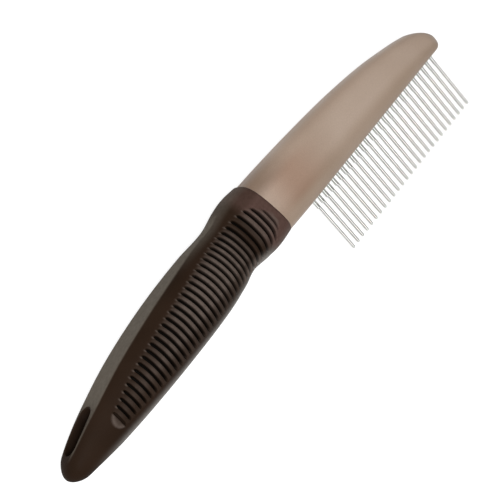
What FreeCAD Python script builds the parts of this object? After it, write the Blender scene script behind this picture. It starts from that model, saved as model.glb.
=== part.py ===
"""Steel grooming comb: one moulded head with a tang, a rubber grip and two rows of steel teeth.

The comb lies on its side.  +X runs from the grip to the head's tip, +Y to the comb's back,
the teeth point along -Y, and +Z is across its thickness.  Lengths are in millimetres.  The
shapes are drawn from the end of the grip (X = 0), the toothed edge (Y = 0) and the mid plane
(Z = 0), and every sub-part is then placed so that the origin is under the middle of the comb.
"""
import FreeCAD, Part
import math
import os
import Sketcher
from FreeCAD import Vector

os.makedirs("parts", exist_ok=True)
doc = FreeCAD.newDocument("grooming_comb")

# ------------------------------------------------------------------ driving dimensions
DIMENSIONS = (
    ("overall_length", 199.4),      # end of the grip to the tip of the head
    ("grip_length", 108.5),         # end of the grip to the middle of the collar's front face
    ("collar_lean", 7.0),           # lean of that face, in degrees
    ("grip_height", 24.0),          # teeth side to back, where the grip is highest
    ("grip_thickness", 19.6),       # side to side, where the grip is thickest
    ("sleeve_wall", 2.8),           # rubber over the tang
    ("collar_round", 1.2),          # rounding of the collar's front edge
    ("end_round", 5.0),             # rounding of the grip's free end
    ("head_height", 22.5),          # toothed edge to back, beside the collar
    ("head_thickness", 13.6),       # side to side, beside the collar
    ("tang_start", 26.0),           # end of the grip to the end of the tang
    ("slot_start", 5.2),            # end of the grip to the hanging slot
    ("slot_length", 15.2),
    ("slot_width", 6.2),
    ("groove_count", 36),           # on each side of the grip
    ("groove_first", 22.8),         # end of the grip to the middle of the first groove
    ("groove_pitch", 2.346),
    ("groove_width", 0.95),
    ("groove_depth", 0.9),
    ("groove_margin", 0.65),        # edge of the ribbed panel to the end of a groove
    ("tooth_count", 27),            # teeth in each row
    ("tooth_pitch", 2.7),
    ("tooth_first", 124.3),         # end of the grip to the first long tooth
    ("tooth_diameter", 1.2),
    ("tooth_seat", 8.0),            # length of tooth moulded into the head
    ("long_reach", 23.1),           # long tooth below the toothed edge
    ("short_reach", 3.4),           # short tooth below the toothed edge
    ("row_spacing", 2.0),           # between the two rows
)

sheet = doc.addObject("Spreadsheet::Sheet", "dims")
for row, (alias, value) in enumerate(DIMENSIONS, start=1):
    sheet.set("A%d" % row, alias)
    sheet.set("B%d" % row, str(value))
    sheet.setAlias("B%d" % row, alias)
doc.recompute()


def dim(alias):
    """Value of one driving dimension."""
    return float(sheet.get(alias))


# ------------------------------------------------------------------ outlines
# Each outline is a few points (station, value).  Stations of the grip are fractions of its
# length, heights are fractions of the grip's or head's height, and half-widths are
# fractions of the thickness.
GRIP_BACK = ((0.00, 0.325), (0.09, 0.46), (0.18, 0.577), (0.33, 0.735), (0.51, 0.85),
             (0.70, 0.912), (0.81, 0.91), (0.88, 0.965), (0.94, 0.98), (1.00, 0.955))
GRIP_FRONT = ((0.00, 0.05), (0.09, -0.018), (0.18, -0.058), (0.33, -0.087), (0.55, -0.088),
              (0.70, -0.062), (0.775, -0.015), (0.83, 0.046), (0.885, 0.012), (0.94, -0.013),
              (1.00, 0.004))
GRIP_SIDE = ((0.00, 0.255), (0.09, 0.335), (0.18, 0.393), (0.30, 0.444), (0.42, 0.485),
             (0.54, 0.50), (0.64, 0.495), (0.74, 0.449), (0.81, 0.403), (0.865, 0.388),
             (0.92, 0.39), (1.00, 0.36))
FACET_SIDE = ((0.00, 0.11), (0.08, 0.21), (0.18, 0.252), (0.32, 0.26), (0.46, 0.245),
              (0.57, 0.212), (0.68, 0.152), (0.76, 0.082), (0.82, 0.0))
HEAD_BACK = ((0.00, 1.00), (0.12, 0.975), (0.29, 0.933), (0.45, 0.882), (0.58, 0.82),
             (0.69, 0.75), (0.78, 0.67), (0.866, 0.581), (0.933, 0.495), (1.00, 0.42))
HEAD_SIDE = ((0.00, 0.465), (0.08, 0.50), (0.20, 0.50), (0.35, 0.47), (0.55, 0.43),
             (0.78, 0.37), (1.00, 0.30))
PANEL_TOP = ((0.18, 0.36), (0.22, 0.44), (0.31, 0.56), (0.42, 0.65), (0.53, 0.72), (0.70, 0.80),
             (0.85, 0.835), (0.91, 0.81), (0.94, 0.73), (0.975, 0.50))
PANEL_FOOT = ((0.18, 0.20), (0.22, 0.14), (0.31, 0.11), (0.42, 0.075), (0.60, 0.065),
              (0.85, 0.09), (0.91, 0.13), (0.94, 0.19), (0.975, 0.36))

GRIP_STATIONS = (0.0, 0.012, 0.04, 0.10, 0.20, 0.34, 0.48, 0.60, 0.71, 0.80, 0.87, 0.94,
                 0.985, 1.0)
GROOVED_STATIONS = (0.12, 0.20, 0.34, 0.48, 0.60, 0.71, 0.80, 0.87, 0.94, 0.98)
HEAD_STATIONS = (0.0, 0.06, 0.18, 0.34, 0.50, 0.65, 0.78, 0.88, 0.94, 0.98, 1.0)
BLUNT = 0.15                        # how far short of a point each rounded end stops
TIP_LEVEL = 2.8                     # height of the head's foremost point over the toothed edge
TIP_RADIUS = 9.0                    # length over which the head's back turns down to its tip
SECTION_POINTS = 12
ELLIPSE = 2.1                       # exponent of an almost elliptical section
SQUARISH = 2.8                      # exponent of a section with flatter sides
SQUARE_FROM = 0.75                  # share of the grip where its sides begin to flatten
SQUARE_BY = 0.92                    # and where they are as flat as the head's
LEAN_FROM = 0.85                    # share of the grip where its sections begin to lean
HEAD_LEAN_TO = 0.2                  # share of the head by which they stand upright again
FACET_POINTS = 12
FACET_CLEAR = 4.0                   # how far the facet's cut reaches past the grip


def along(outline, station):
    """Smooth value of an outline at a station: a cubic through its points."""
    last = len(outline) - 1
    i = 0
    while i < last - 1 and station > outline[i + 1][0]:
        i += 1

    def slope(k):
        below = max(k - 1, 0)
        above = min(k + 1, last)
        rise = outline[above][1] - outline[below][1]
        return rise / (outline[above][0] - outline[below][0])

    (x0, y0), (x1, y1) = outline[i], outline[i + 1]
    step = x1 - x0
    part = min(max((station - x0) / step, 0.0), 1.0)
    rising = part * part * (3.0 - 2.0 * part)
    bend = part * (1.0 - part) * step
    return (y0 + (y1 - y0) * rising
            + bend * ((1.0 - part) * slope(i) - part * slope(i + 1)))


def rounding(distance, radius):
    """Share of the full section left at a distance from a rounded end."""
    if distance >= radius:
        return 1.0
    return math.sqrt(max(1.0 - (1.0 - distance / radius) ** 2, 0.0))


class Section:
    """One closed cross-section: an oval between a foot and a top line."""

    def __init__(self, station, foot, top, half, power, lean=0.0):
        self.station = station
        self.middle = (top + foot) / 2.0
        self.tall = (top - foot) / 2.0
        self.half = half
        self.power = power
        self.lean = lean

    def curve(self, inset=0.0):
        """Closed curve round the section, drawn smaller by the inset.

        Every section shares one set of knots, which keeps the lofted surface light.
        """
        tall = self.tall - inset
        half = self.half - inset
        round_points = []
        for k in range(SECTION_POINTS):
            angle = 2.0 * math.pi * k / SECTION_POINTS
            c, s = math.cos(angle), math.sin(angle)
            reach = (abs(c / tall) ** self.power + abs(s / half) ** self.power) ** (-1.0 / self.power)
            round_points.append(Vector(reach * c, reach * s, 0.0))
        knots = [k / SECTION_POINTS for k in range(SECTION_POINTS + 1)]
        closed = Part.BSplineCurve()
        closed.interpolate(Points=round_points, PeriodicFlag=True, Parameters=knots)
        return closed


def grip_section(share):
    """Section of the grip at a share of its length, before its back is cut flat."""
    length = dim("grip_length")
    height = dim("grip_height")
    thickness = dim("grip_thickness")
    back = along(GRIP_BACK, share) * height
    foot = along(GRIP_FRONT, share) * height
    half = along(GRIP_SIDE, share) * thickness
    facet = max(along(FACET_SIDE, share), 0.0) * thickness if share < FACET_SIDE[-1][0] else 0.0
    squaring = min(max((share - SQUARE_FROM) / (SQUARE_BY - SQUARE_FROM), 0.0), 1.0)
    power = ELLIPSE + (SQUARISH - ELLIPSE) * squaring
    cut = (1.0 - (facet / half) ** power) ** (1.0 / power)
    top = foot + 2.0 * (back - foot) / (1.0 + cut)
    end = rounding(share * length + BLUNT, dim("end_round"))
    middle = (back + foot) / 2.0
    lean = dim("collar_lean") * max((share - LEAN_FROM) / (1.0 - LEAN_FROM), 0.0)
    front_edge = dim("collar_round")
    trim = front_edge * (1.0 - rounding(length * (1.0 - share) + BLUNT, front_edge))
    return Section(share * length, middle + (foot - middle) * end + trim,
                   middle + (top - middle) * end - trim, half * end - trim, power, lean)


def head_section(share):
    """Section of the head at a share of the way from the collar to the tip."""
    start = dim("grip_length")
    reach = dim("overall_length") - start
    height = dim("head_height")
    left = (1.0 - share) * reach + BLUNT
    top = along(HEAD_BACK, share) * height
    top = TIP_LEVEL + (top - TIP_LEVEL) * rounding(left, TIP_RADIUS)
    foot = TIP_LEVEL * (1.0 - rounding(left, TIP_LEVEL))
    half = along(HEAD_SIDE, share) * dim("head_thickness") * rounding(left, TIP_RADIUS / 2.0)
    lean = dim("collar_lean") * max(1.0 - share / HEAD_LEAN_TO, 0.0)
    return Section(start + share * reach, foot, top, half, SQUARISH, lean)


# ------------------------------------------------------------------ sketches and features
def new_body(name):
    """An empty body whose label names its file."""
    body = doc.addObject("PartDesign::Body", name)
    body.Label = name
    return body


def new_sketch(body, name, role):
    """A sketch on one of the body's own origin planes."""
    plane = [item for item in body.Origin.OriginFeatures if item.Role == role][0]
    sketch = body.newObject("Sketcher::SketchObject", name)
    sketch.AttachmentSupport = [(plane, "")]
    sketch.MapMode = "FlatFace"
    return sketch


def section_sketches(body, name, sections, inset=0.0):
    """One closed curve per section, each on a plane across the comb."""
    sketches = []
    for number, section in enumerate(sections, start=1):
        sketch = new_sketch(body, "%s_%02d" % (name, number), "YZ_Plane")
        place = FreeCAD.Placement(Vector(section.middle, 0.0, section.station),
                                  FreeCAD.Rotation(Vector(0.0, 1.0, 0.0), section.lean))
        sketch.AttachmentOffset = place
        sketch.addGeometry(section.curve(inset), False)
        sketches.append(sketch)
    return sketches


def add_loft(body, name, sections, inset=0.0, kind="PartDesign::AdditiveLoft"):
    """A smooth solid, or cavity, through the sections."""
    sketches = section_sketches(body, name + "_section", sections, inset)
    loft = body.newObject(kind, name)
    loft.Profile = sketches[0]
    loft.Sections = sketches[1:]
    doc.recompute()
    return loft


def add_pocket(body, name, sketch, length):
    """A cut to both sides of the sketch's plane."""
    pocket = body.newObject("PartDesign::Pocket", name)
    pocket.Profile = sketch
    pocket.Type = "Length"
    pocket.Midplane = True
    pocket.setExpression("Length", length)
    doc.recompute()
    return pocket


def line(start, end):
    return Part.LineSegment(Vector(start[0], start[1], 0.0), Vector(end[0], end[1], 0.0))


def stadium(sketch, middle, half_straight, radius, upright):
    """A slot's outline: two straight sides and two half-round ends."""
    x, y = middle
    if upright:
        first = Vector(x, y + half_straight, 0.0)
        last = Vector(x, y - half_straight, 0.0)
        across = Vector(radius, 0.0, 0.0)
        angle = 0.0
    else:
        first = Vector(x - half_straight, y, 0.0)
        last = Vector(x + half_straight, y, 0.0)
        across = Vector(0.0, radius, 0.0)
        angle = math.pi / 2.0
    normal = Vector(0.0, 0.0, 1.0)
    sketch.addGeometry([
        Part.ArcOfCircle(Part.Circle(first, normal, radius), angle, angle + math.pi),
        Part.LineSegment(first - across, last - across),
        Part.ArcOfCircle(Part.Circle(last, normal, radius), angle + math.pi, angle + 2.0 * math.pi),
        Part.LineSegment(last + across, first + across),
    ], False)


# ------------------------------------------------------------------ head and tang
def tang_sections():
    """Sections of the tang, inside the sleeve's wall."""
    first = dim("tang_start") / dim("grip_length")
    shares = [first] + [share for share in GRIP_STATIONS if share > first + 0.05]
    return [grip_section(share) for share in shares]


def add_sockets(body, row, side, first):
    """One row of holes for the teeth, on one side (-1 or 1) of the head's mid plane."""
    socket = new_sketch(body, row + "_socket", "XZ_Plane")
    socket.addGeometry(Part.Circle(Vector(dim("tooth_first"), 0.0, 0.0), Vector(0.0, 0.0, 1.0),
                                   dim("tooth_diameter") / 2.0), False)
    across = socket.addConstraint(Sketcher.Constraint("DistanceX", -1, 1, 0, 3, 1.0))
    up = socket.addConstraint(Sketcher.Constraint("DistanceY", -1, 1, 0, 3, float(side)))
    size = socket.addConstraint(Sketcher.Constraint("Diameter", 0, 1.0))
    socket.setExpression("Constraints[%d]" % across, first)
    socket.setExpression("Constraints[%d]" % up, "%d * dims.row_spacing / 2" % side)
    socket.setExpression("Constraints[%d]" % size, "dims.tooth_diameter")
    cut = add_pocket(body, row + "_sockets_cut", socket, "2 * dims.tooth_seat")
    pattern = body.newObject("PartDesign::LinearPattern", row + "_sockets")
    pattern.Originals = [cut]
    pattern.Direction = (socket, ["H_Axis"])
    pattern.setExpression("Length", "(dims.tooth_count - 1) * dims.tooth_pitch")
    pattern.setExpression("Occurrences", "dims.tooth_count")
    body.Tip = pattern
    doc.recompute()


def make_head():
    """Head and tang, moulded as one piece round the roots of the teeth."""
    body = new_body("comb_head_and_tang")
    add_loft(body, "head", [head_section(share) for share in HEAD_STATIONS])
    add_loft(body, "tang", tang_sections(), inset=dim("sleeve_wall"))
    add_sockets(body, "long", -1, "dims.tooth_first")
    add_sockets(body, "short", 1, "dims.tooth_first - dims.tooth_pitch / 2")
    return body


# ------------------------------------------------------------------ grip
def cut_facet(body):
    """The long flat on the grip's back, cut along the line of the back in side view."""
    length = dim("grip_length")
    height = dim("grip_height")
    shares = [FACET_SIDE[-1][0] * k / FACET_POINTS for k in range(FACET_POINTS + 1)]
    points = [(share * length, along(GRIP_BACK, share) * height) for share in shares]
    sketch = new_sketch(body, "facet_outline", "XY_Plane")
    curve = Part.BSplineCurve()
    curve.interpolate([Vector(x, y, 0.0) for x, y in points])
    sketch.addGeometry(curve, False)
    (x0, y0), (x1, y1) = points[0], points[-1]
    left, top = x0 - FACET_CLEAR, y1 + FACET_CLEAR
    sketch.addGeometry([line((x1, y1), (x1, top)), line((x1, top), (left, top)),
                        line((left, top), (left, y0)), line((left, y0), (x0, y0))], False)
    add_pocket(body, "facet", sketch, "2 * dims.grip_thickness")


def cut_hanging_slot(body):
    """The slot through the grip's free end, from the back to the toothed side."""
    sketch = new_sketch(body, "slot_outline", "XZ_Plane")
    radius = dim("slot_width") / 2.0
    middle = dim("slot_start") + dim("slot_length") / 2.0
    stadium(sketch, (middle, 0.0), dim("slot_length") / 2.0 - radius, radius, upright=False)
    add_pocket(body, "hanging_slot", sketch, "3 * dims.grip_height")


def make_smooth_sleeve():
    """The sleeve before its grooves are cut."""
    body = new_body("smooth_sleeve")
    add_loft(body, "outside", [grip_section(share) for share in GRIP_STATIONS])
    cut_facet(body)
    cut_hanging_slot(body)
    add_loft(body, "tang_cavity", tang_sections(), inset=dim("sleeve_wall"),
             kind="PartDesign::SubtractiveLoft")
    return body


def make_groove_bar(number):
    """A bar right through the grip, where one pair of grooves is to be."""
    x = dim("groove_first") + number * dim("groove_pitch")
    share = x / dim("grip_length")
    top = along(PANEL_TOP, share) * dim("grip_height") - dim("groove_margin")
    foot = along(PANEL_FOOT, share) * dim("grip_height") + dim("groove_margin")
    radius = dim("groove_width") / 2.0
    sketch = doc.addObject("Sketcher::SketchObject", "groove_outline_%02d" % (number + 1))
    stadium(sketch, (x, (top + foot) / 2.0), (top - foot) / 2.0 - radius, radius, upright=True)
    bar = doc.addObject("Part::Extrusion", "groove_bar_%02d" % (number + 1))
    bar.Base = sketch
    bar.DirMode = "Normal"
    bar.Solid = True
    bar.Symmetric = True
    bar.setExpression("LengthFwd", "2 * dims.grip_thickness")
    return bar


def make_groove_cutter():
    """All the bars, less the body of the grip that the grooves don't reach."""
    bars = doc.addObject("Part::Compound", "groove_bars")
    bars.Links = [make_groove_bar(number) for number in range(int(dim("groove_count")))]
    core = new_body("groove_floor")
    add_loft(core, "floor", [grip_section(share) for share in GROOVED_STATIONS],
             inset=dim("groove_depth"))
    cutter = doc.addObject("Part::Cut", "groove_cutter")
    cutter.Base = bars
    cutter.Tool = core
    return cutter


def make_sleeve():
    """Rubber grip moulded over the tang, with its collar, hanging slot and ribbed sides."""
    sleeve = doc.addObject("Part::Cut", "grip_sleeve")
    sleeve.Label = "grip_sleeve"
    sleeve.Base = make_smooth_sleeve()
    sleeve.Tool = make_groove_cutter()
    doc.recompute()
    return sleeve


# ------------------------------------------------------------------ teeth
def make_tooth(name, reach):
    """A straight steel pin with a domed tip, drawn from the toothed edge."""
    body = new_body(name)
    sketch = new_sketch(body, name + "_outline", "XY_Plane")
    radius = dim("tooth_diameter") / 2.0
    seat = dim("tooth_seat")
    low = -dim(reach) + radius
    tip = Part.ArcOfCircle(Part.Circle(Vector(0.0, low, 0.0), Vector(0.0, 0.0, 1.0), radius),
                           1.5 * math.pi, 2.0 * math.pi)
    sketch.addGeometry([line((0.0, low - radius), (0.0, seat)), line((0.0, seat), (radius, seat)),
                        line((radius, seat), (radius, low)), tip], False)
    sketch.addConstraint([
        Sketcher.Constraint("Coincident", 0, 2, 1, 1),
        Sketcher.Constraint("Coincident", 1, 2, 2, 1),
        Sketcher.Constraint("Coincident", 0, 1, 3, 1),
        Sketcher.Constraint("Tangent", 2, 2, 3, 2),
        Sketcher.Constraint("Vertical", 0),
        Sketcher.Constraint("Horizontal", 1),
        Sketcher.Constraint("PointOnObject", 0, 1, -2),
        Sketcher.Constraint("PointOnObject", 3, 3, -2),
    ])
    width = sketch.addConstraint(Sketcher.Constraint("DistanceX", 1, 1, 1, 2, radius))
    top = sketch.addConstraint(Sketcher.Constraint("DistanceY", -1, 1, 0, 2, seat))
    bottom = sketch.addConstraint(Sketcher.Constraint("DistanceY", 0, 1, -1, 1, dim(reach)))
    sketch.setExpression("Constraints[%d]" % width, "dims.tooth_diameter / 2")
    sketch.setExpression("Constraints[%d]" % top, "dims.tooth_seat")
    sketch.setExpression("Constraints[%d]" % bottom, "dims." + reach)
    turned = body.newObject("PartDesign::Revolution", name + "_pin")
    turned.Profile = sketch
    turned.ReferenceAxis = (sketch, ["V_Axis"])
    turned.Angle = 360.0
    return body


def make_teeth():
    """Both rows; each short tooth stands half a pitch before its long tooth."""
    teeth = []
    for number in range(int(dim("tooth_count"))):
        x = dim("tooth_first") + number * dim("tooth_pitch")
        long_tooth = make_tooth("long_tooth_%02d" % (number + 1), "long_reach")
        short_tooth = make_tooth("short_tooth_%02d" % (number + 1), "short_reach")
        half_gap = dim("row_spacing") / 2.0
        teeth.append((long_tooth, Vector(x, 0.0, -half_gap)))
        teeth.append((short_tooth, Vector(x - dim("tooth_pitch") / 2.0, 0.0, half_gap)))
    doc.recompute()
    return teeth


# ------------------------------------------------------------------ placing and writing
def place(parts):
    """Put the origin under the middle of the comb as it lies."""
    box = FreeCAD.BoundBox()
    for part, shift in parts:
        shape = part.Shape.copy()
        shape.translate(shift)
        box.add(shape.optimalBoundingBox(False))
    origin = Vector(box.Center.x, box.Center.y, box.ZMin)
    for part, shift in parts:
        part.Placement = FreeCAD.Placement(shift - origin, FreeCAD.Rotation())
    doc.recompute()
    print("origin", origin, "size", box.XLength, box.YLength, box.ZLength)


def check(parts):
    """Stop if any object failed or any sub-part isn't one valid solid."""
    for item in doc.Objects:
        if "Invalid" in item.State or "Error" in item.State:
            raise RuntimeError("%s failed: %s" % (item.Label, item.State))
    for part, _ in parts:
        shape = part.Shape
        if shape.isNull() or not shape.isValid() or len(shape.Solids) != 1:
            raise RuntimeError("%s isn't one valid solid" % part.Label)


parts = [(make_head(), Vector()), (make_sleeve(), Vector())] + make_teeth()
place(parts)
check(parts)
for part, _ in parts:
    part.Shape.exportStep("parts/%s.step" % part.Label)
print("%d sub-parts" % len(parts))
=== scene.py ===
"""Looks of the grooming comb: rubber grip, moulded head, steel teeth, floor, lights and camera.

The grip and the head are drawn anew, with ribs, tones and softened edges; the teeth keep their
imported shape.  Shapes are worked out in the part's drawing coordinates, in millimetres: X from the
end of the grip, Y from the toothed edge towards the back, Z from the mid plane.  to_frame() turns
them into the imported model's metres.
"""
import math

import bmesh
import bpy
import numpy as np
from mathutils import Matrix, Vector


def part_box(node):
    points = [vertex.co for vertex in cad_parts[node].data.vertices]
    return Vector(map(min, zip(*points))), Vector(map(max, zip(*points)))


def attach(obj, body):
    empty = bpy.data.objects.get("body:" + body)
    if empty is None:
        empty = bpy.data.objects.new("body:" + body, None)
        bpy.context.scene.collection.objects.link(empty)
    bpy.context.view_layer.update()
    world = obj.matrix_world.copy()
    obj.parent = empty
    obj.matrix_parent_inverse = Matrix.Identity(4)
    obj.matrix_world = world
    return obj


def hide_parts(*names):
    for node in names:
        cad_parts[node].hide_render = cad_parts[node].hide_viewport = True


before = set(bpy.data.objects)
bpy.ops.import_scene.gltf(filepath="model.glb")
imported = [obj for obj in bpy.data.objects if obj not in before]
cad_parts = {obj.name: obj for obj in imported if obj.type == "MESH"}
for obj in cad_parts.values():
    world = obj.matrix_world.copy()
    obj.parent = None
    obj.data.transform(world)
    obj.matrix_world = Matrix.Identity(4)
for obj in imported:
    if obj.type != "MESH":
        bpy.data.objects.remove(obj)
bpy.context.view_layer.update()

MM = 0.001

# ------------------------------------------------------------------ sizes, as in the CAD part
OVERALL = 199.4
GRIP_LENGTH = 108.5
COLLAR_LEAN = math.radians(7.0)
GRIP_HEIGHT = 24.0
GRIP_THICKNESS = 19.6
COLLAR_ROUND = 1.2
END_ROUND = 5.0
HEAD_HEIGHT = 22.5
HEAD_THICKNESS = 13.6
SLOT_START = 5.2
SLOT_LENGTH = 15.2
SLOT_WIDTH = 6.2
GROOVES = 36
GROOVE_WIDTH = 0.95
TOOTH_FIRST = 124.3
TOOTH_SEAT = 8.0
ROW_OFFSET = 1.0         # the long teeth from the mid plane
BLUNT = 0.15             # how far short of a point each rounded end stops
TIP_LEVEL = 2.8          # height of the head's foremost point over the toothed edge
TIP_RADIUS = 9.0         # length over which the head's back turns down to its tip
ELLIPSE = 2.1            # exponent of an almost elliptical section
SQUARISH = 2.8           # exponent of a section with flatter sides
SQUARE_FROM = 0.75       # share of the grip where its sides begin to flatten
SQUARE_BY = 0.92         # and where they are as flat as the head's
LEAN_FROM = 0.85         # share of the grip where its sections begin to lean
HEAD_LEAN_TO = 0.2       # share of the head by which they stand upright again

# Outlines: (share of the grip's or head's length, share of its height or thickness).
GRIP_BACK = ((0.00, 0.325), (0.09, 0.46), (0.18, 0.577), (0.33, 0.735), (0.51, 0.85),
             (0.70, 0.912), (0.81, 0.91), (0.88, 0.965), (0.94, 0.98), (1.00, 0.955))
GRIP_FRONT = ((0.00, 0.05), (0.09, -0.018), (0.18, -0.058), (0.33, -0.087), (0.55, -0.088),
              (0.70, -0.062), (0.775, -0.015), (0.83, 0.046), (0.885, 0.012), (0.94, -0.013),
              (1.00, 0.004))
GRIP_SIDE = ((0.00, 0.255), (0.09, 0.335), (0.18, 0.393), (0.30, 0.444), (0.42, 0.485),
             (0.54, 0.50), (0.64, 0.495), (0.74, 0.449), (0.81, 0.403), (0.865, 0.388),
             (0.92, 0.39), (1.00, 0.36))
FACET_SIDE = ((0.00, 0.11), (0.08, 0.21), (0.18, 0.252), (0.32, 0.26), (0.46, 0.245),
              (0.57, 0.212), (0.68, 0.152), (0.76, 0.082), (0.82, 0.0))
HEAD_BACK = ((0.00, 1.00), (0.12, 0.975), (0.29, 0.933), (0.45, 0.882), (0.58, 0.82),
             (0.69, 0.75), (0.78, 0.67), (0.866, 0.581), (0.933, 0.495), (1.00, 0.42))
HEAD_SIDE = ((0.00, 0.465), (0.08, 0.50), (0.20, 0.50), (0.35, 0.47), (0.55, 0.43),
             (0.78, 0.37), (1.00, 0.30))

# ------------------------------------------------------------------ sizes drawn for the looks
FLAT_CORNER = 0.55       # rounding between the back flat and the grip's sides
FLAT_FADE = (0.78, 0.90)  # share of the grip over which the back flat ends
SLOT_FLARE = 0.45        # rounding of the slot's rim
PANEL_START = 19.65
PANEL_END = 0.98
PANEL_ROUND = 3.5
FIRST_PITCH = 2.38       # room taken by the first and the last groove
LAST_PITCH = 2.2
GROOVE_DEPTH = 1.5
CROWN_DROP = 0.28        # how far a rib's shoulders fall below its crown
RIB_RISE = 0.08          # how far the ribs stand proud
RIB_RISE_START = 0.40    # and how much more at the panel's start

# The ribbed panel's outline, a little fuller at both ends than in the CAD.
PANEL_TOP = ((0.18, 0.42), (0.22, 0.44), (0.31, 0.56), (0.42, 0.65), (0.53, 0.72), (0.70, 0.80),
             (0.85, 0.835), (0.91, 0.81), (0.94, 0.75), (0.98, 0.51))
PANEL_FOOT = ((0.18, 0.145), (0.22, 0.14), (0.31, 0.11), (0.42, 0.075), (0.60, 0.065),
              (0.85, 0.09), (0.91, 0.11), (0.94, 0.14), (0.98, 0.28))
# Middle of each groove, counted from the grip's end: closer together where the waist falls away.
GROOVE_AT = ((0, 22.8), (12, 51.4), (24, 79.6), (29, 90.5), (31, 95.2), (33, 100.5), (35, 104.9))
# How pale the ribs are along the grip and from its front towards its back: partly rubbed pale
# by hands, partly painted light, with a painted highlight over their back part and painted shade in
# the waist.
RUBBED_AND_LIT_ALONG = ((22.0, 0.22), (36.0, 0.35), (48.0, 0.70), (58.0, 0.85), (71.0, 1.0), (86.0, 0.88),
                (90.0, 0.58), (93.8, 0.06), (96.4, 0.20), (99.0, 0.66), (108.5, 0.60))
RUBBED_AND_LIT_ACROSS = ((0.0, 0.28), (5.4, 0.32), (8.0, 0.95), (10.0, 1.0), (22.0, 1.0))


def tooth_origin():
    """The drawing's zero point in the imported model, in millimetres, read from one tooth."""
    low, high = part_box("long_tooth_01")
    middle = (low + high) / 2.0 / MM
    return np.array([middle.x - TOOTH_FIRST, high.y / MM - TOOTH_SEAT, middle.z + ROW_OFFSET])


ORIGIN = tooth_origin()


def to_frame(points):
    """Drawing millimetres to the model's metres."""
    return (np.asarray(points, float) + ORIGIN) * MM


# ------------------------------------------------------------------ outlines
def along(outline, station):
    """Smooth value of an outline at each station: a cubic through its points."""
    xs = np.array([p[0] for p in outline])
    ys = np.array([p[1] for p in outline])
    rise = np.empty(len(xs))
    rise[1:-1] = (ys[2:] - ys[:-2]) / (xs[2:] - xs[:-2])
    rise[0] = (ys[1] - ys[0]) / (xs[1] - xs[0])
    rise[-1] = (ys[-1] - ys[-2]) / (xs[-1] - xs[-2])
    station = np.clip(station, xs[0], xs[-1])
    i = np.clip(np.searchsorted(xs, station, side="right") - 1, 0, len(xs) - 2)
    step = xs[i + 1] - xs[i]
    part = (station - xs[i]) / step
    rising = part * part * (3.0 - 2.0 * part)
    bend = part * (1.0 - part) * step
    return (ys[i] + (ys[i + 1] - ys[i]) * rising
            + bend * ((1.0 - part) * rise[i] - part * rise[i + 1]))


def rounding(distance, radius):
    """Share of the full section left at a distance from a rounded end."""
    inside = np.clip(distance / radius, 0.0, 1.0)
    return np.sqrt(np.maximum(1.0 - (1.0 - inside) ** 2, 0.0))


def ease(value, low, high):
    """Smooth step from 0 at low to 1 at high."""
    t = np.clip((value - low) / (high - low), 0.0, 1.0)
    return t * t * (3.0 - 2.0 * t)


def oval(angle, tall, half, power):
    """Points round a section: height and half-thickness at each angle."""
    c, s = np.cos(angle), np.sin(angle)
    reach = (np.abs(c / tall) ** power + np.abs(s / half) ** power) ** (-1.0 / power)
    return reach * c, reach * s


def soft_lower(a, b, radius):
    """The lower of two heights, with the corner between them rounded."""
    mix = np.clip(0.5 + 0.5 * (b - a) / radius, 0.0, 1.0)
    return b + (a - b) * mix - radius * mix * (1.0 - mix)


# ------------------------------------------------------------------ surfaces
def grip_back(x):
    """Height of the grip's back edge."""
    return along(GRIP_BACK, x / GRIP_LENGTH) * GRIP_HEIGHT


def grip_foot(x):
    """Height of the grip's front edge."""
    return along(GRIP_FRONT, x / GRIP_LENGTH) * GRIP_HEIGHT


def grip_half(x):
    """Half the grip's thickness."""
    return along(GRIP_SIDE, x / GRIP_LENGTH) * GRIP_THICKNESS


def facet_half(x):
    """Half the width of the grip's back flat."""
    return along(FACET_SIDE, x / GRIP_LENGTH) * GRIP_THICKNESS


def grip_lean(x):
    """Angle by which a section of the grip tips back: only towards the collar."""
    return COLLAR_LEAN * np.maximum((x / GRIP_LENGTH - LEAN_FROM) / (1.0 - LEAN_FROM), 0.0)


def grip_surface(x, angle):
    """Smooth outside of the grip, without its grooves: one row of points per station."""
    back, foot, half = grip_back(x), grip_foot(x), grip_half(x)
    facet = np.maximum(facet_half(x), 0.0)
    square = np.clip((x / GRIP_LENGTH - SQUARE_FROM) / (SQUARE_BY - SQUARE_FROM), 0.0, 1.0)
    power = ELLIPSE + (SQUARISH - ELLIPSE) * square
    # The section is made taller than the grip, so that the flat cuts it to the right height.
    cut = (1.0 - (facet / half) ** power) ** (1.0 / power)
    top = foot + 2.0 * (back - foot) / (1.0 + cut)
    end = rounding(x + BLUNT, END_ROUND)
    level = (back + foot) / 2.0
    trim = COLLAR_ROUND * (1.0 - rounding(GRIP_LENGTH - x + 0.15 * COLLAR_ROUND, COLLAR_ROUND))
    foot = level + (foot - level) * end + trim
    top = level + (top - level) * end - trim
    half = half * end - trim
    lean = grip_lean(x)
    up, out = oval(angle[None, :], ((top - foot) / 2.0)[:, None], half[:, None], power[:, None])
    px = x[:, None] - up * np.sin(lean)[:, None]
    py = ((top + foot) / 2.0)[:, None] + up * np.cos(lean)[:, None]
    # Past its end the flat is lifted clear of the grip.
    clear = 40.0 * ease(px, FLAT_FADE[0] * GRIP_LENGTH, FLAT_FADE[1] * GRIP_LENGTH)
    py = soft_lower(py, grip_back(px) + clear, FLAT_CORNER)
    return np.stack([px, py, out + 0.0 * px], axis=-1)


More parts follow.
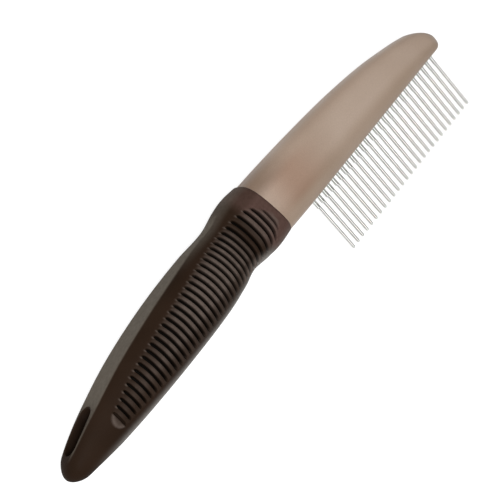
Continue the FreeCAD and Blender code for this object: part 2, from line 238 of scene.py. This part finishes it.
def head_surface(x, angle):
    """Outside of the moulded head: one row of points per station."""
    share = (x - GRIP_LENGTH) / (OVERALL - GRIP_LENGTH)
    left = OVERALL - x + BLUNT
    top = along(HEAD_BACK, share) * HEAD_HEIGHT
    top = TIP_LEVEL + (top - TIP_LEVEL) * rounding(left, TIP_RADIUS)
    foot = TIP_LEVEL * (1.0 - rounding(left, TIP_LEVEL))
    half = along(HEAD_SIDE, share) * HEAD_THICKNESS * rounding(left, TIP_RADIUS / 2.0)
    lean = COLLAR_LEAN * np.maximum(1.0 - np.maximum(share, 0.0) / HEAD_LEAN_TO, 0.0)
    up, out = oval(angle[None, :], ((top - foot) / 2.0)[:, None], half[:, None], SQUARISH)
    px = x[:, None] - up * np.sin(lean)[:, None]
    py = ((top + foot) / 2.0)[:, None] + up * np.cos(lean)[:, None]
    return np.stack([px, py, out + 0.0 * px], axis=-1)


def outward(grid):
    """Unit normals of a grid of points that closes round its second axis."""
    lengthwise = np.gradient(grid, axis=0)
    round_it = np.roll(grid, -1, axis=1) - np.roll(grid, 1, axis=1)
    normal = np.cross(round_it, lengthwise)
    size = np.linalg.norm(normal, axis=-1, keepdims=True)
    normal = normal / np.maximum(size, 1e-9)
    middle = grid.mean(axis=1, keepdims=True)
    facing = np.sum(normal * (grid - middle), axis=(1, 2), keepdims=True)
    return normal * np.sign(facing)


# ------------------------------------------------------------------ grooves
def panel_edges(x):
    """(top, foot) heights of the ribbed panel, which is round at its handle end."""
    share = x / GRIP_LENGTH
    top = along(PANEL_TOP, share) * GRIP_HEIGHT
    foot = along(PANEL_FOOT, share) * GRIP_HEIGHT
    middle = (top + foot) / 2.0
    full = rounding(np.maximum(x - PANEL_START, 0.0), PANEL_ROUND)
    return middle + (top - middle) * full, middle + (foot - middle) * full


def panel_distance(x, y):
    """Distance inside the ribbed panel's outline, seen from the side; negative outside it."""
    reach = PANEL_END * GRIP_LENGTH - PANEL_START
    stations = PANEL_START + reach * np.linspace(0.0, 1.0, 200) ** 1.5
    top, foot = panel_edges(stations)
    distance = np.full(x.shape, np.inf)
    for ex, ey, fy in zip(stations, top, foot):
        along_x = (x - ex) ** 2
        distance = np.minimum(distance, along_x + np.minimum((y - ey) ** 2, (y - fy) ** 2))
    distance = np.sqrt(distance)
    top, foot = panel_edges(x)
    inside = (y < top) & (y > foot) & (x > stations[0]) & (x < stations[-1])
    return np.where(inside, distance, -distance)


def groove_bow(x, y):
    """How far along X a groove's point at a height lies from the groove's middle."""
    level = 7.0 + 2.0 * ease(x, 23.0, 60.0)
    above = np.clip(y - level, 0.0, 11.0)
    below = np.clip(level - y, 0.0, 9.0)
    pull = 0.022 * ease(x, 60.0, 96.0) + 0.02 * ease(x, 94.0, 104.0)
    upright = np.sin(grip_lean(x)) * (y - 11.3)
    shift = -0.010 * above ** 2 - pull * below ** 2 + upright
    return shift * ease(x, 18.0, 23.0) * (1.0 - ease(x, 105.2, 107.6))


def groove_profile(u, pitch, width):
    """(depth, crown drop, painted shade) across one pitch; u is the distance from the groove's
    middle.
    """
    half = width / 2.0
    depth = 1.0 - ease(np.abs(u), half - 0.14, half + 0.12)
    middle = pitch / 2.0
    crown = np.clip((middle - np.abs(u)) / (middle - half), 0.0, 1.0)
    painted_groove_shade = 1.0 - ease(np.abs(u + 0.05), half - 0.08, half + 0.26)
    return depth, CROWN_DROP * crown ** 2.5, painted_groove_shade


def rib_rubbed_and_lit(x, y):
    """How pale a rib is at this place: partly rubbed pale by hands, partly painted light."""
    rubbed_and_lit = along(RUBBED_AND_LIT_ALONG, x) * along(RUBBED_AND_LIT_ACROSS, y)
    rubbed_and_lit = rubbed_and_lit * (1.0 - 0.6 * (1.0 - ease(x, 36.0, 64.0)) * ease(y, 8.5, 12.0))
    bulge = ease(x, 80.0, 86.0) * (1.0 - ease(x, 91.0, 96.0)) * (1.0 - ease(y, 3.5, 6.5))
    return rubbed_and_lit + 0.8 * bulge


def engrave(grid, rows, turn):
    """Raises the ribs and sinks the grooves; returns the points and two shares for the rubber.

    The first share says how much a point is rubbed pale or carries a painted highlight, the second
    how much it is groove floor, which gets painted shade.
    """
    normal = outward(grid)
    x, y = grid[..., 0], grid[..., 1]
    inside = panel_distance(x, y)
    top, foot = panel_edges(x)
    number = np.clip(np.round(turn), 0, GROOVES - 1)
    is_first, is_last = number == 0, number == GROOVES - 1
    u = rows - along(GROOVE_AT, number)
    pitch = along(GROOVE_AT, number + 0.5) - along(GROOVE_AT, number - 0.5)
    pitch = np.where(is_first, FIRST_PITCH, np.where(is_last, LAST_PITCH, pitch))
    # Grooves narrow towards the panel's edge, and the first and last are slighter than the rest.
    widest = GROOVE_WIDTH * (0.78 + 0.24 * ease(rows, 28.0, 50.0) + 0.2 * ease(rows, 97.0, 102.0))
    width = widest[:, None] * (0.45 + 0.55 * ease(inside, 0.3, 1.5))
    width = width * (1.0 - 0.4 * is_last)[:, None]
    depth, crown, painted_groove_shade = groove_profile(u[:, None], pitch[:, None], width)
    strength = (1.0 - 0.55 * is_first - 0.2 * is_last)[:, None]
    proud = (RIB_RISE + RIB_RISE_START * (1.0 - ease(rows, 21.8, 24.5)))[:, None]
    proud = proud * (1.0 - ease(rows, 96.0, 102.0))[:, None]
    raised = proud * ease(inside, -0.1, 1.0) - crown * ease(inside, 0.0, 0.8)
    sunk = GROOVE_DEPTH * strength * depth * ease(inside, 0.35, 0.95)
    # The groove floor gets painted shade.
    floor = ease(inside, 0.35, 0.85) * painted_groove_shade * strength
    # Paler: the ribs' crowns, rubbed pale and partly painted light, a painted highlight on a
    # crescent at the panel's start, and a painted glint at each rib's upper end.
    rib = ease(inside, 0.1, 0.9) * (1.0 - depth) * rib_rubbed_and_lit(x, y)
    rib = rib * (0.25 + 0.75 * ease(top - y, 0.0, 4.0))
    crescent = ease(inside, 0.0, 0.75) * (1.0 - 0.55 * ease(inside, 0.7, 2.0))
    crescent = crescent * (1.0 - ease(rows, 22.0, 22.5))[:, None]
    upper_end = np.exp(-((inside - 0.60) / 0.45) ** 2) * (y > (top + foot) / 2.0)
    lip = np.exp(-((u + 0.58) / 0.28) ** 2) * (number > 0) * (number < GROOVES - 2)
    rubbed_and_highlit = np.maximum(np.maximum(rib, 0.78 * crescent), 0.9 * upper_end * lip[:, None])
    return grid + normal * (raised - sunk)[..., None], rubbed_and_highlit, floor


def grip_tones(grid):
    """Shares of the grip's paler flat back and collar, partly painted light, and its front's
    painted sheen.
    """
    x, y, z = grid[..., 0], grid[..., 1], np.abs(grid[..., 2])
    # The collar is paler: partly its own browner colour, partly painted light, with painted shade
    # at its back.
    collar = ease(x, 96.5, 101.0) * (1.0 - 0.38 * ease(y, 17.5, 20.0))
    # Past the slot the whole flat is pale, but beside it only the flat's two edges are; this is
    # partly its own tone, partly painted light.
    below_back = grip_back(x) - y
    facet = (1.0 - ease(below_back, 0.05, 0.35)) * (1.0 - ease(x / GRIP_LENGTH, 0.82, 0.92))
    beside_edge = np.exp(-((z - facet_half(x) + 0.3) / 0.45) ** 2)
    facet = facet * np.maximum(ease(x, 10.0, 25.0), 0.65 * beside_edge) * ease(x, 2.5, 7.0)
    # Beside the flat the sides get a painted reflection too, towards the waist.
    limb = (1.0 - ease(below_back, -0.8, 2.0)) * ease(x, 68.0, 86.0)
    facet = np.maximum(facet, 0.6 * limb)
    # The front edge gets a painted sheen, fainter along its middle.
    front = (1.0 - ease(y - grip_foot(x), 0.5, 5.0)) ** 1.5 * ease(x, 5.0, 26.0)
    front = front * (0.3 + 0.7 * ease(z / grip_half(x), 0.02, 0.34)) * (1.0 - 0.7 * collar)
    return [("collar", collar), ("facet", facet), ("painted_front_sheen", front)]


# ------------------------------------------------------------------ meshes
def grid_mesh(name, grid, attributes=()):
    """A closed mesh from rows of points, with a fan over each end."""
    rows, columns, _ = grid.shape
    points = to_frame(grid.reshape(-1, 3))
    ends = to_frame(np.stack([grid[0].mean(axis=0), grid[-1].mean(axis=0)]))
    vertices = np.concatenate([points, ends])
    first, last = rows * columns, rows * columns + 1   # the middles of the two ends
    i, j = np.meshgrid(np.arange(rows - 1), np.arange(columns), indexing="ij")
    k = (j + 1) % columns
    quads = np.stack([i * columns + j, i * columns + k, (i + 1) * columns + k,
                      (i + 1) * columns + j], axis=-1).reshape(-1, 4)
    faces = quads.tolist()
    tail = (rows - 1) * columns
    for j in range(columns):
        k = (j + 1) % columns
        faces.append([first, k, j])
        faces.append([last, tail + j, tail + k])
    mesh = bpy.data.meshes.new(name)
    mesh.from_pydata(vertices.tolist(), [], faces)
    for label, values in attributes:
        layer = mesh.attributes.new(label, "FLOAT", "POINT")
        full = np.concatenate([values.reshape(-1), [0.0, 0.0]]).astype(np.float32)
        layer.data.foreach_set("value", full)
    mesh.update()
    piece = bpy.data.objects.new(name, mesh)
    bpy.context.scene.collection.objects.link(piece)
    face_outward(mesh)
    return piece


def face_outward(mesh):
    """Turns every face the right way out."""
    work = bmesh.new()
    work.from_mesh(mesh)
    bmesh.ops.recalc_face_normals(work, faces=work.faces)
    work.to_mesh(mesh)
    work.free()


def smooth(piece, sharp_angle):
    """Smooth shading, with a hard edge only where faces meet at more than the angle."""
    piece.data.shade_smooth()
    piece.data.set_sharp_from_angle(angle=math.radians(sharp_angle))


def front_surface(x, z):
    """Height of the grip's front at a distance from its mid plane."""
    half = grip_half(x)
    cut = (1.0 - (facet_half(x) / half) ** ELLIPSE) ** (1.0 / ELLIPSE)
    tall = (grip_back(x) - grip_foot(x)) / (1.0 + cut)
    return grip_foot(x) + tall * (1.0 - (1.0 - np.abs(z / half) ** ELLIPSE) ** (1.0 / ELLIPSE))


def slot_cutter():
    """A stadium through the grip that flares where it meets the surface, which rounds the rim."""
    radius = SLOT_WIDTH / 2.0
    count = 32
    turn = np.concatenate([np.linspace(0.5 * math.pi, 1.5 * math.pi, count),
                           np.linspace(1.5 * math.pi, 2.5 * math.pi, count)])
    centre = np.repeat((SLOT_START + radius, SLOT_START + SLOT_LENGTH - radius), count)
    rings = []

    def ring(offset, height):
        """A loop of points, wider than the slot by the offset."""
        x = centre + (radius + offset) * np.cos(turn)
        z = (radius + offset) * np.sin(turn)
        rings.append(np.stack([x, height(x, z), z], axis=-1))

    bends = np.radians([78.0, 60.0, 42.0, 24.0, 8.0])
    # Wider still where it is clear of the grip, so that it opens along the flare.
    ring(SLOT_FLARE + 2.0, lambda x, z: np.full_like(x, 20.0))
    ring(SLOT_FLARE + 2.0, lambda x, z: grip_back(x) + 0.9)
    for bend in bends:
        sunk = SLOT_FLARE * (1.0 - math.sin(bend))
        ring(SLOT_FLARE * (1.0 - math.cos(bend)), lambda x, z: grip_back(x) - sunk)
    for bend in bends[::-1]:
        sunk = SLOT_FLARE * (1.0 - math.sin(bend))
        ring(SLOT_FLARE * (1.0 - math.cos(bend)), lambda x, z: front_surface(x, z) + sunk)
    ring(SLOT_FLARE + 1.6, lambda x, z: front_surface(x, z) - 0.9)
    ring(SLOT_FLARE + 1.6, lambda x, z: np.full_like(x, -8.0))
    return grid_mesh("slot_cutter", np.array(rings))


def cut_slot(grip):
    """Cuts the hanging slot through the grip."""
    cutter = slot_cutter()
    cut = grip.modifiers.new("slot", "BOOLEAN")
    cut.operation = "DIFFERENCE"
    cut.solver = "EXACT"
    cut.object = cutter
    bpy.context.view_layer.update()
    graph = bpy.context.evaluated_depsgraph_get()
    result = bpy.data.meshes.new_from_object(grip.evaluated_get(graph))
    grip.modifiers.clear()
    old = grip.data
    grip.data = result
    bpy.data.meshes.remove(old)
    bpy.data.objects.remove(cutter)


def mark_slot(grip):
    """Marks the slot's walls, which get painted shade."""
    count = len(grip.data.vertices)
    points = np.empty(count * 3)
    grip.data.vertices.foreach_get("co", points)
    points = points.reshape(-1, 3) / MM - ORIGIN
    radius = SLOT_WIDTH / 2.0
    nearest = np.clip(points[:, 0], SLOT_START + radius, SLOT_START + SLOT_LENGTH - radius)
    reach = np.hypot(points[:, 0] - nearest, points[:, 2])
    below_back = grip_back(points[:, 0]) - points[:, 1]
    wall = (1.0 - ease(reach, radius + 0.05, radius + 0.2)) * ease(below_back, 0.2, 0.8)
    layer = grip.data.attributes.new("slot_wall", "FLOAT", "POINT")
    layer.data.foreach_set("value", wall.astype(np.float32))


def grip_rows():
    """(stations, groove numbers) of the grip's mesh: close together where the grooves are."""
    parts = (-0.42, -0.33, -0.27, -0.22, -0.17, -0.12, -0.04, 0.04, 0.12, 0.17, 0.22, 0.27, 0.33,
             0.42, 0.5)
    turn = np.array([-0.5] + [n + part for n in range(GROOVES) for part in parts])
    past_last = turn - GROOVES + 1
    first, last = GROOVE_AT[0][1], GROOVE_AT[-1][1]
    grooves = along(GROOVE_AT, turn)
    grooves = np.where(turn < 0.0, first + FIRST_PITCH * turn, grooves)
    grooves = np.where(past_last > 0.0, last + LAST_PITCH * past_last, grooves)
    end = [0.0, 0.03, 0.12, 0.28, 0.5, 0.8, 1.15, 1.6, 2.1, 2.7, 3.3, 4.0, 4.7]
    plain = np.arange(5.4, PANEL_START - 0.5, 0.55)
    near = np.arange(PANEL_START - 0.4, grooves[0] - 0.1, 0.2)
    collar = np.arange(grooves[-1] + 0.25, GRIP_LENGTH - 1.35, 0.3)
    edge = GRIP_LENGTH - np.array([1.3, 1.1, 0.9, 0.7, 0.52, 0.36, 0.22, 0.1, 0.0])
    before = np.concatenate([end, plain, near])
    after = np.concatenate([collar, edge])
    rows = np.concatenate([before, grooves, after])
    turn = np.concatenate([np.full(len(before), -0.5), turn, np.full(len(after), GROOVES - 0.5)])
    return rows, turn


def make_grip():
    """The rubber grip with its ribs, flat back, collar and hanging slot."""
    rows, turn = grip_rows()
    angle = np.linspace(0.0, 2.0 * math.pi, 224, endpoint=False)
    grid = grip_surface(rows, angle)
    shift = groove_bow(np.broadcast_to(rows[:, None], grid.shape[:2]), grid[..., 1])
    # Each column of points slides along the grip to follow the grooves' bow.
    bowed = np.empty_like(grid)
    for j in range(len(angle)):
        bowed[:, j] = grip_surface(rows + shift[:, j], angle[j:j + 1])[:, 0]
    points, rubbed_and_highlit, floor = engrave(bowed, rows, turn)
    shares = [("rubbed_and_highlit", rubbed_and_highlit), ("groove", floor)] + grip_tones(bowed)
    grip = grid_mesh("rubber_grip", points, shares)
    cut_slot(grip)
    mark_slot(grip)
    smooth(grip, 50.0)
    return grip


def head_tones(grid):
    """Shares of the head's regions where shade is painted into the plastic's colour."""
    x, y = grid[..., 0], grid[..., 1]
    top = y.max(axis=1, keepdims=True)
    height = y / top
    # Each share is painted shade: back shoulder, toothed edge, root, a band by the collar, the tip.
    turned = ease(1.0 - np.abs(outward(grid)[..., 2]), 0.03, 0.40)
    back = turned * ease(height, 0.5, 0.8)
    toothed = 1.0 - ease(height, 0.24, 0.52)
    root = ease(height, 0.66, 0.88) * (1.0 - ease(x, 108.0, 128.0))
    across = ease(height, 0.18, 0.36) * (1.0 - ease(height, 0.74, 0.96))
    painted_shade_band = np.exp(-((x - 121.0) / 11.0) ** 2) * across
    return [("back", back), ("toothed", toothed), ("root", root), ("painted_shade_band", painted_shade_band),
            ("tip", ease(x, 172.0, 194.0))]


def make_head():
    """The moulded head; its root runs a little way into the collar."""
    tip = TIP_RADIUS * (1.0 - np.sin(np.linspace(0.03, 0.5 * math.pi, 44)))
    rows = np.concatenate([[GRIP_LENGTH - 1.0],
                           np.linspace(GRIP_LENGTH, OVERALL - TIP_RADIUS, 130), OVERALL - tip])
    angle = np.linspace(0.0, 2.0 * math.pi, 176, endpoint=False)
    grid = head_surface(rows, angle)
    head = grid_mesh("comb_head", grid, head_tones(grid))
    smooth(head, 60.0)
    return head


# ------------------------------------------------------------------ materials
NOISE_RANGE = (0.3, 0.7)        # where most of a noise's values lie


class Nodes:
    """Short names for building a material from nodes."""

    def __init__(self, name):
        """A material with its shader, and places in object space."""
        self.material = bpy.data.materials.new(name)
        self.material.use_nodes = True
        self.tree = self.material.node_tree
        self.shader = self.tree.nodes["Principled BSDF"]
        self.place = self.add("ShaderNodeTexCoord").outputs["Object"]

    def add(self, kind, **settings):
        """A new node with its settings."""
        node = self.tree.nodes.new(kind)
        for key, value in settings.items():
            setattr(node, key, value)
        return node

    def link(self, source, target):
        """Joins an output to an input."""
        self.tree.links.new(source, target)

    def noise(self, scale, detail=3.0, stretch=(1.0, 1.0, 1.0)):
        """Noise in object space; scale is in features per metre."""
        mapping = self.add("ShaderNodeMapping")
        mapping.inputs["Scale"].default_value = stretch
        texture = self.add("ShaderNodeTexNoise")
        texture.inputs["Scale"].default_value = scale
        texture.inputs["Detail"].default_value = detail
        self.link(self.place, mapping.inputs["Vector"])
        self.link(mapping.outputs["Vector"], texture.inputs["Vector"])
        return texture.outputs["Fac"]

    def ramp(self, value, colours):
        """From the first colour to the second as a noise goes from low to high."""
        node = self.add("ShaderNodeValToRGB")
        for element, position, colour in zip(node.color_ramp.elements, NOISE_RANGE, colours):
            element.position = position
            element.color = (*colour, 1.0)
        self.link(value, node.inputs["Fac"])
        return node.outputs["Color"]

    def spread(self, value, low, high):
        """From one number to another as a noise goes from low to high."""
        node = self.add("ShaderNodeMapRange")
        node.inputs["From Min"].default_value, node.inputs["From Max"].default_value = NOISE_RANGE
        node.inputs["To Min"].default_value = low
        node.inputs["To Max"].default_value = high
        self.link(value, node.inputs["Value"])
        return node.outputs["Result"]

    def mix(self, factor, a, b, blend="MIX"):
        """Two colours mixed; the factor and both colours may be values or outputs."""
        node = self.add("ShaderNodeMix", data_type="RGBA", blend_type=blend)
        for socket, value in ((node.inputs[0], factor), (node.inputs[6], a), (node.inputs[7], b)):
            if isinstance(value, bpy.types.NodeSocket):
                self.link(value, socket)
            elif isinstance(value, tuple):
                socket.default_value = (*value, 1.0)
            else:
                socket.default_value = value
        return node.outputs[2]

    def product(self, a, b):
        """Two outputs multiplied."""
        node = self.add("ShaderNodeMath", operation="MULTIPLY")
        self.link(a, node.inputs[0])
        self.link(b, node.inputs[1])
        return node.outputs["Value"]

    def bump(self, height, strength, distance, before=None):
        """A normal that follows a height, over an earlier bump where one is given."""
        node = self.add("ShaderNodeBump")
        node.inputs["Strength"].default_value = strength
        node.inputs["Distance"].default_value = distance
        self.link(height, node.inputs["Height"])
        if before is not None:
            self.link(before, node.inputs["Normal"])
        return node.outputs["Normal"]

    def share(self, name):
        """The share of a region, which the mesh carries at each point."""
        return self.add("ShaderNodeAttribute", attribute_name=name).outputs["Fac"]


# Each material's colour varies between two.  The head's tints are painted shade; the grip's
# front edge tone is a painted sheen, and its flat back's tone is partly painted light.
PLASTIC = ((0.262, 0.196, 0.149), (0.298, 0.230, 0.181))
# What each region of the head multiplies the plastic's colour by, as painted shade.
PLASTIC_PAINTED_SHADE = {
    "back": (0.90, 0.86, 0.82),
    "toothed": (0.81, 0.78, 0.74),
    "root": (0.56, 0.51, 0.47),
    "painted_shade_band": (0.85, 0.73, 0.67),
    "tip": (0.92, 0.91, 0.90),
}
RUBBER = ((0.0130, 0.0068, 0.0037), (0.0180, 0.0098, 0.0058))
# The colour of each region of the grip, laid over the rubber in this order.
RUBBER_TONES = {
    # The collar: partly its own browner tone, partly painted light.
    "collar": (0.066, 0.038, 0.031),
    # The flat back: partly its own tone, partly painted light and a painted reflection.
    "facet": (0.094, 0.080, 0.064),
    # A painted sheen along the front edge.
    "painted_front_sheen": (0.192, 0.178, 0.164),
    # The ribs: partly rubbed pale, partly painted highlight and glints.
    "rubbed_and_highlit": (0.082, 0.063, 0.053),
    # Painted shade in the grooves and on the slot's walls.
    "groove": (0.0020, 0.0014, 0.0010),
    "slot_wall": (0.0020, 0.0014, 0.0010),
}
PAINTED_SHADE_REGIONS = ("groove", "slot_wall")      # regions of painted shade, left even
STEEL = ((0.75, 0.755, 0.73), (0.86, 0.865, 0.835))
PAPER = ((0.24, 0.24, 0.24), (0.26, 0.26, 0.26))


def plastic():
    """Satin moulded plastic: faint mottling, fine grain, and each region's painted shade."""
    m = Nodes("taupe_satin_plastic")
    base = m.ramp(m.noise(38.0, detail=2.0), PLASTIC)
    tone = m.spread(m.noise(2600.0, detail=2.0), 0.95, 1.05)
    base = m.mix(1.0, base, tone, blend="MULTIPLY")
    for region, tint in PLASTIC_PAINTED_SHADE.items():
        base = m.mix(m.share(region), base, tint, blend="MULTIPLY")
    m.link(base, m.shader.inputs["Base Color"])
    m.link(m.spread(m.noise(120.0, detail=4.0), 0.38, 0.50), m.shader.inputs["Roughness"])
    grain = m.bump(m.noise(5200.0, detail=2.0), 0.12, 0.00006)
    soft = m.bump(m.noise(160.0, detail=2.0), 0.06, 0.0005, before=grain)
    m.link(soft, m.shader.inputs["Normal"])
    m.shader.inputs["Specular IOR Level"].default_value = 0.35
    return m.material


def rubber():
    """Dark soft-touch rubber: ribs and flat back paler, partly rubbed and partly painted light,
    fine matt grain.
    """
    m = Nodes("dark_brown_rubber")
    base = m.ramp(m.noise(60.0, detail=3.0), RUBBER)
    uneven = m.spread(m.noise(900.0, detail=3.0), 0.75, 1.0)
    for region, colour in RUBBER_TONES.items():
        share = m.share(region)
        if region not in PAINTED_SHADE_REGIONS:
            share = m.product(share, uneven)
        base = m.mix(share, base, colour)
    m.link(base, m.shader.inputs["Base Color"])
    m.link(m.spread(m.noise(240.0, detail=4.0), 0.56, 0.66), m.shader.inputs["Roughness"])
    grain = m.bump(m.noise(3800.0, detail=3.0), 0.20, 0.00006)
    m.link(grain, m.shader.inputs["Normal"])
    m.shader.inputs["Specular IOR Level"].default_value = 0.03
    return m.material


def steel():
    """Drawn stainless wire: fine lengthwise lines and slightly uneven polish."""
    m = Nodes("drawn_steel")
    base = m.ramp(m.noise(900.0, detail=3.0, stretch=(6.0, 0.15, 6.0)), STEEL)
    m.link(base, m.shader.inputs["Base Color"])
    m.link(m.spread(m.noise(700.0, detail=3.0), 0.08, 0.13), m.shader.inputs["Roughness"])
    lines = m.bump(m.noise(2400.0, detail=2.0, stretch=(5.0, 0.08, 5.0)), 0.05, 0.00001)
    m.link(lines, m.shader.inputs["Normal"])
    m.shader.inputs["Metallic"].default_value = 1.0
    # Darker at grazing angles than real steel, for the dark room that such teeth reflect.
    m.shader.inputs["Specular Tint"].default_value = (0.08, 0.08, 0.08, 1.0)
    return m.material


def pale_paper():
    """Matt paper that glows like a light table."""
    m = Nodes("pale_paper")
    tint = m.ramp(m.noise(3.0, detail=2.0), PAPER)
    m.link(tint, m.shader.inputs["Base Color"])
    m.shader.inputs["Emission Color"].default_value = (1.0, 1.0, 1.0, 1.0)
    m.shader.inputs["Emission Strength"].default_value = 0.85
    m.shader.inputs["Roughness"].default_value = 0.9
    m.shader.inputs["Specular IOR Level"].default_value = 0.1
    return m.material


def paint(piece, material):
    """Makes this the piece's only material."""
    piece.data.materials.clear()
    piece.data.materials.append(material)


# ------------------------------------------------------------------ pieces
def dress_teeth():
    """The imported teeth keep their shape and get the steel."""
    material = steel()
    for name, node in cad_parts.items():
        if "tooth" in name:
            for material_slot in node.material_slots:
                material_slot.material = material


def add_pieces():
    """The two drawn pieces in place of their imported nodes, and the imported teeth."""
    grip = make_grip()
    paint(grip, rubber())
    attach(grip, "root")
    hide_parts("grip_sleeve")
    head = make_head()
    paint(head, plastic())
    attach(head, "root")
    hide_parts("comb_head_and_tang")
    dress_teeth()


# ------------------------------------------------------------------ floor, lights and camera
FLOOR_REACH = 3.0        # half the sheet's width, metres
FLOOR_STEPS = 24
FLOOR_FLAT = 1.2         # radius inside which it stays flat
FLOOR_CURL = 0.24
FLOOR_GAP = 0.0001       # how far it lies below the comb
WORLD_LIGHT = 0.07
# name, place, (width, height) in metres, watts
LIGHTS = (("key", (-0.45, 0.25, 0.95), (0.5, 0.5), 12.8),
          ("overhead", (-0.03, -0.30, 1.05), (1.08, 1.6), 8.0))
LIT_POINT = (0.0, 0.0, 0.01)
# The camera's right and backward directions, and its place seen from the middle tooth's tip.
VIEW_RIGHT = Vector((0.58701390, -0.63095602, 0.50725653))
VIEW_BACK = Vector((-0.37665642, 0.34177495, 0.86099931))
VIEW_FROM = Vector((-0.2683, 0.2140, 0.4672))
VIEW_LENS = 121.4


def add_floor():
    """A pale sheet that curves up only far away."""
    across = [FLOOR_REACH * (2.0 * i / FLOOR_STEPS - 1.0) for i in range(FLOOR_STEPS + 1)]
    vertices = [(x, y, max(math.hypot(x, y) - FLOOR_FLAT, 0.0) ** 2 * FLOOR_CURL - FLOOR_GAP)
                for x in across for y in across]
    row = FLOOR_STEPS + 1
    faces = [(a, a + row, a + row + 1, a + 1)
             for i in range(FLOOR_STEPS) for a in range(i * row, i * row + FLOOR_STEPS)]
    mesh = bpy.data.meshes.new("floor")
    mesh.from_pydata(vertices, [], faces)
    mesh.shade_smooth()
    floor = bpy.data.objects.new("floor", mesh)
    bpy.context.scene.collection.objects.link(floor)
    paint(floor, pale_paper())


def add_light(name, place, size, power):
    """An area light turned towards the comb."""
    light = bpy.data.lights.new(name, "AREA")
    light.shape = "RECTANGLE"
    light.size, light.size_y = size
    light.energy = power
    lamp = bpy.data.objects.new(name, light)
    bpy.context.scene.collection.objects.link(lamp)
    lamp.location = place
    direction = Vector(LIT_POINT) - Vector(place)
    lamp.rotation_euler = direction.to_track_quat("-Z", "Y").to_euler()


def add_lights():
    """A faint even surround and the two lights."""
    world = bpy.data.worlds.new("studio")
    bpy.context.scene.world = world
    world.use_nodes = True
    sky = world.node_tree.nodes["Background"]
    sky.inputs["Color"].default_value = (1.0, 1.0, 1.0, 1.0)
    sky.inputs["Strength"].default_value = WORLD_LIGHT
    for light in LIGHTS:
        add_light(*light)
    bpy.context.scene.view_settings.view_transform = "Standard"


def add_camera():
    """Looks down on the comb's side from beyond its back, nearer to its grip."""
    low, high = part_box("long_tooth_14")
    tip = Vector(((low.x + high.x) / 2.0, low.y, (low.z + high.z) / 2.0))
    up = VIEW_BACK.cross(VIEW_RIGHT).normalized()
    data = bpy.data.cameras.new("camera")
    data.sensor_width = 36.0
    data.lens = VIEW_LENS
    data.clip_start, data.clip_end = 0.01, 20.0
    camera = bpy.data.objects.new("camera", data)
    bpy.context.scene.collection.objects.link(camera)
    axes = Matrix((VIEW_RIGHT, up, VIEW_BACK)).transposed()
    camera.matrix_world = Matrix.Translation(tip + VIEW_FROM) @ axes.to_4x4()
    bpy.context.scene.camera = camera


add_pieces()
add_floor()
add_lights()
add_camera()
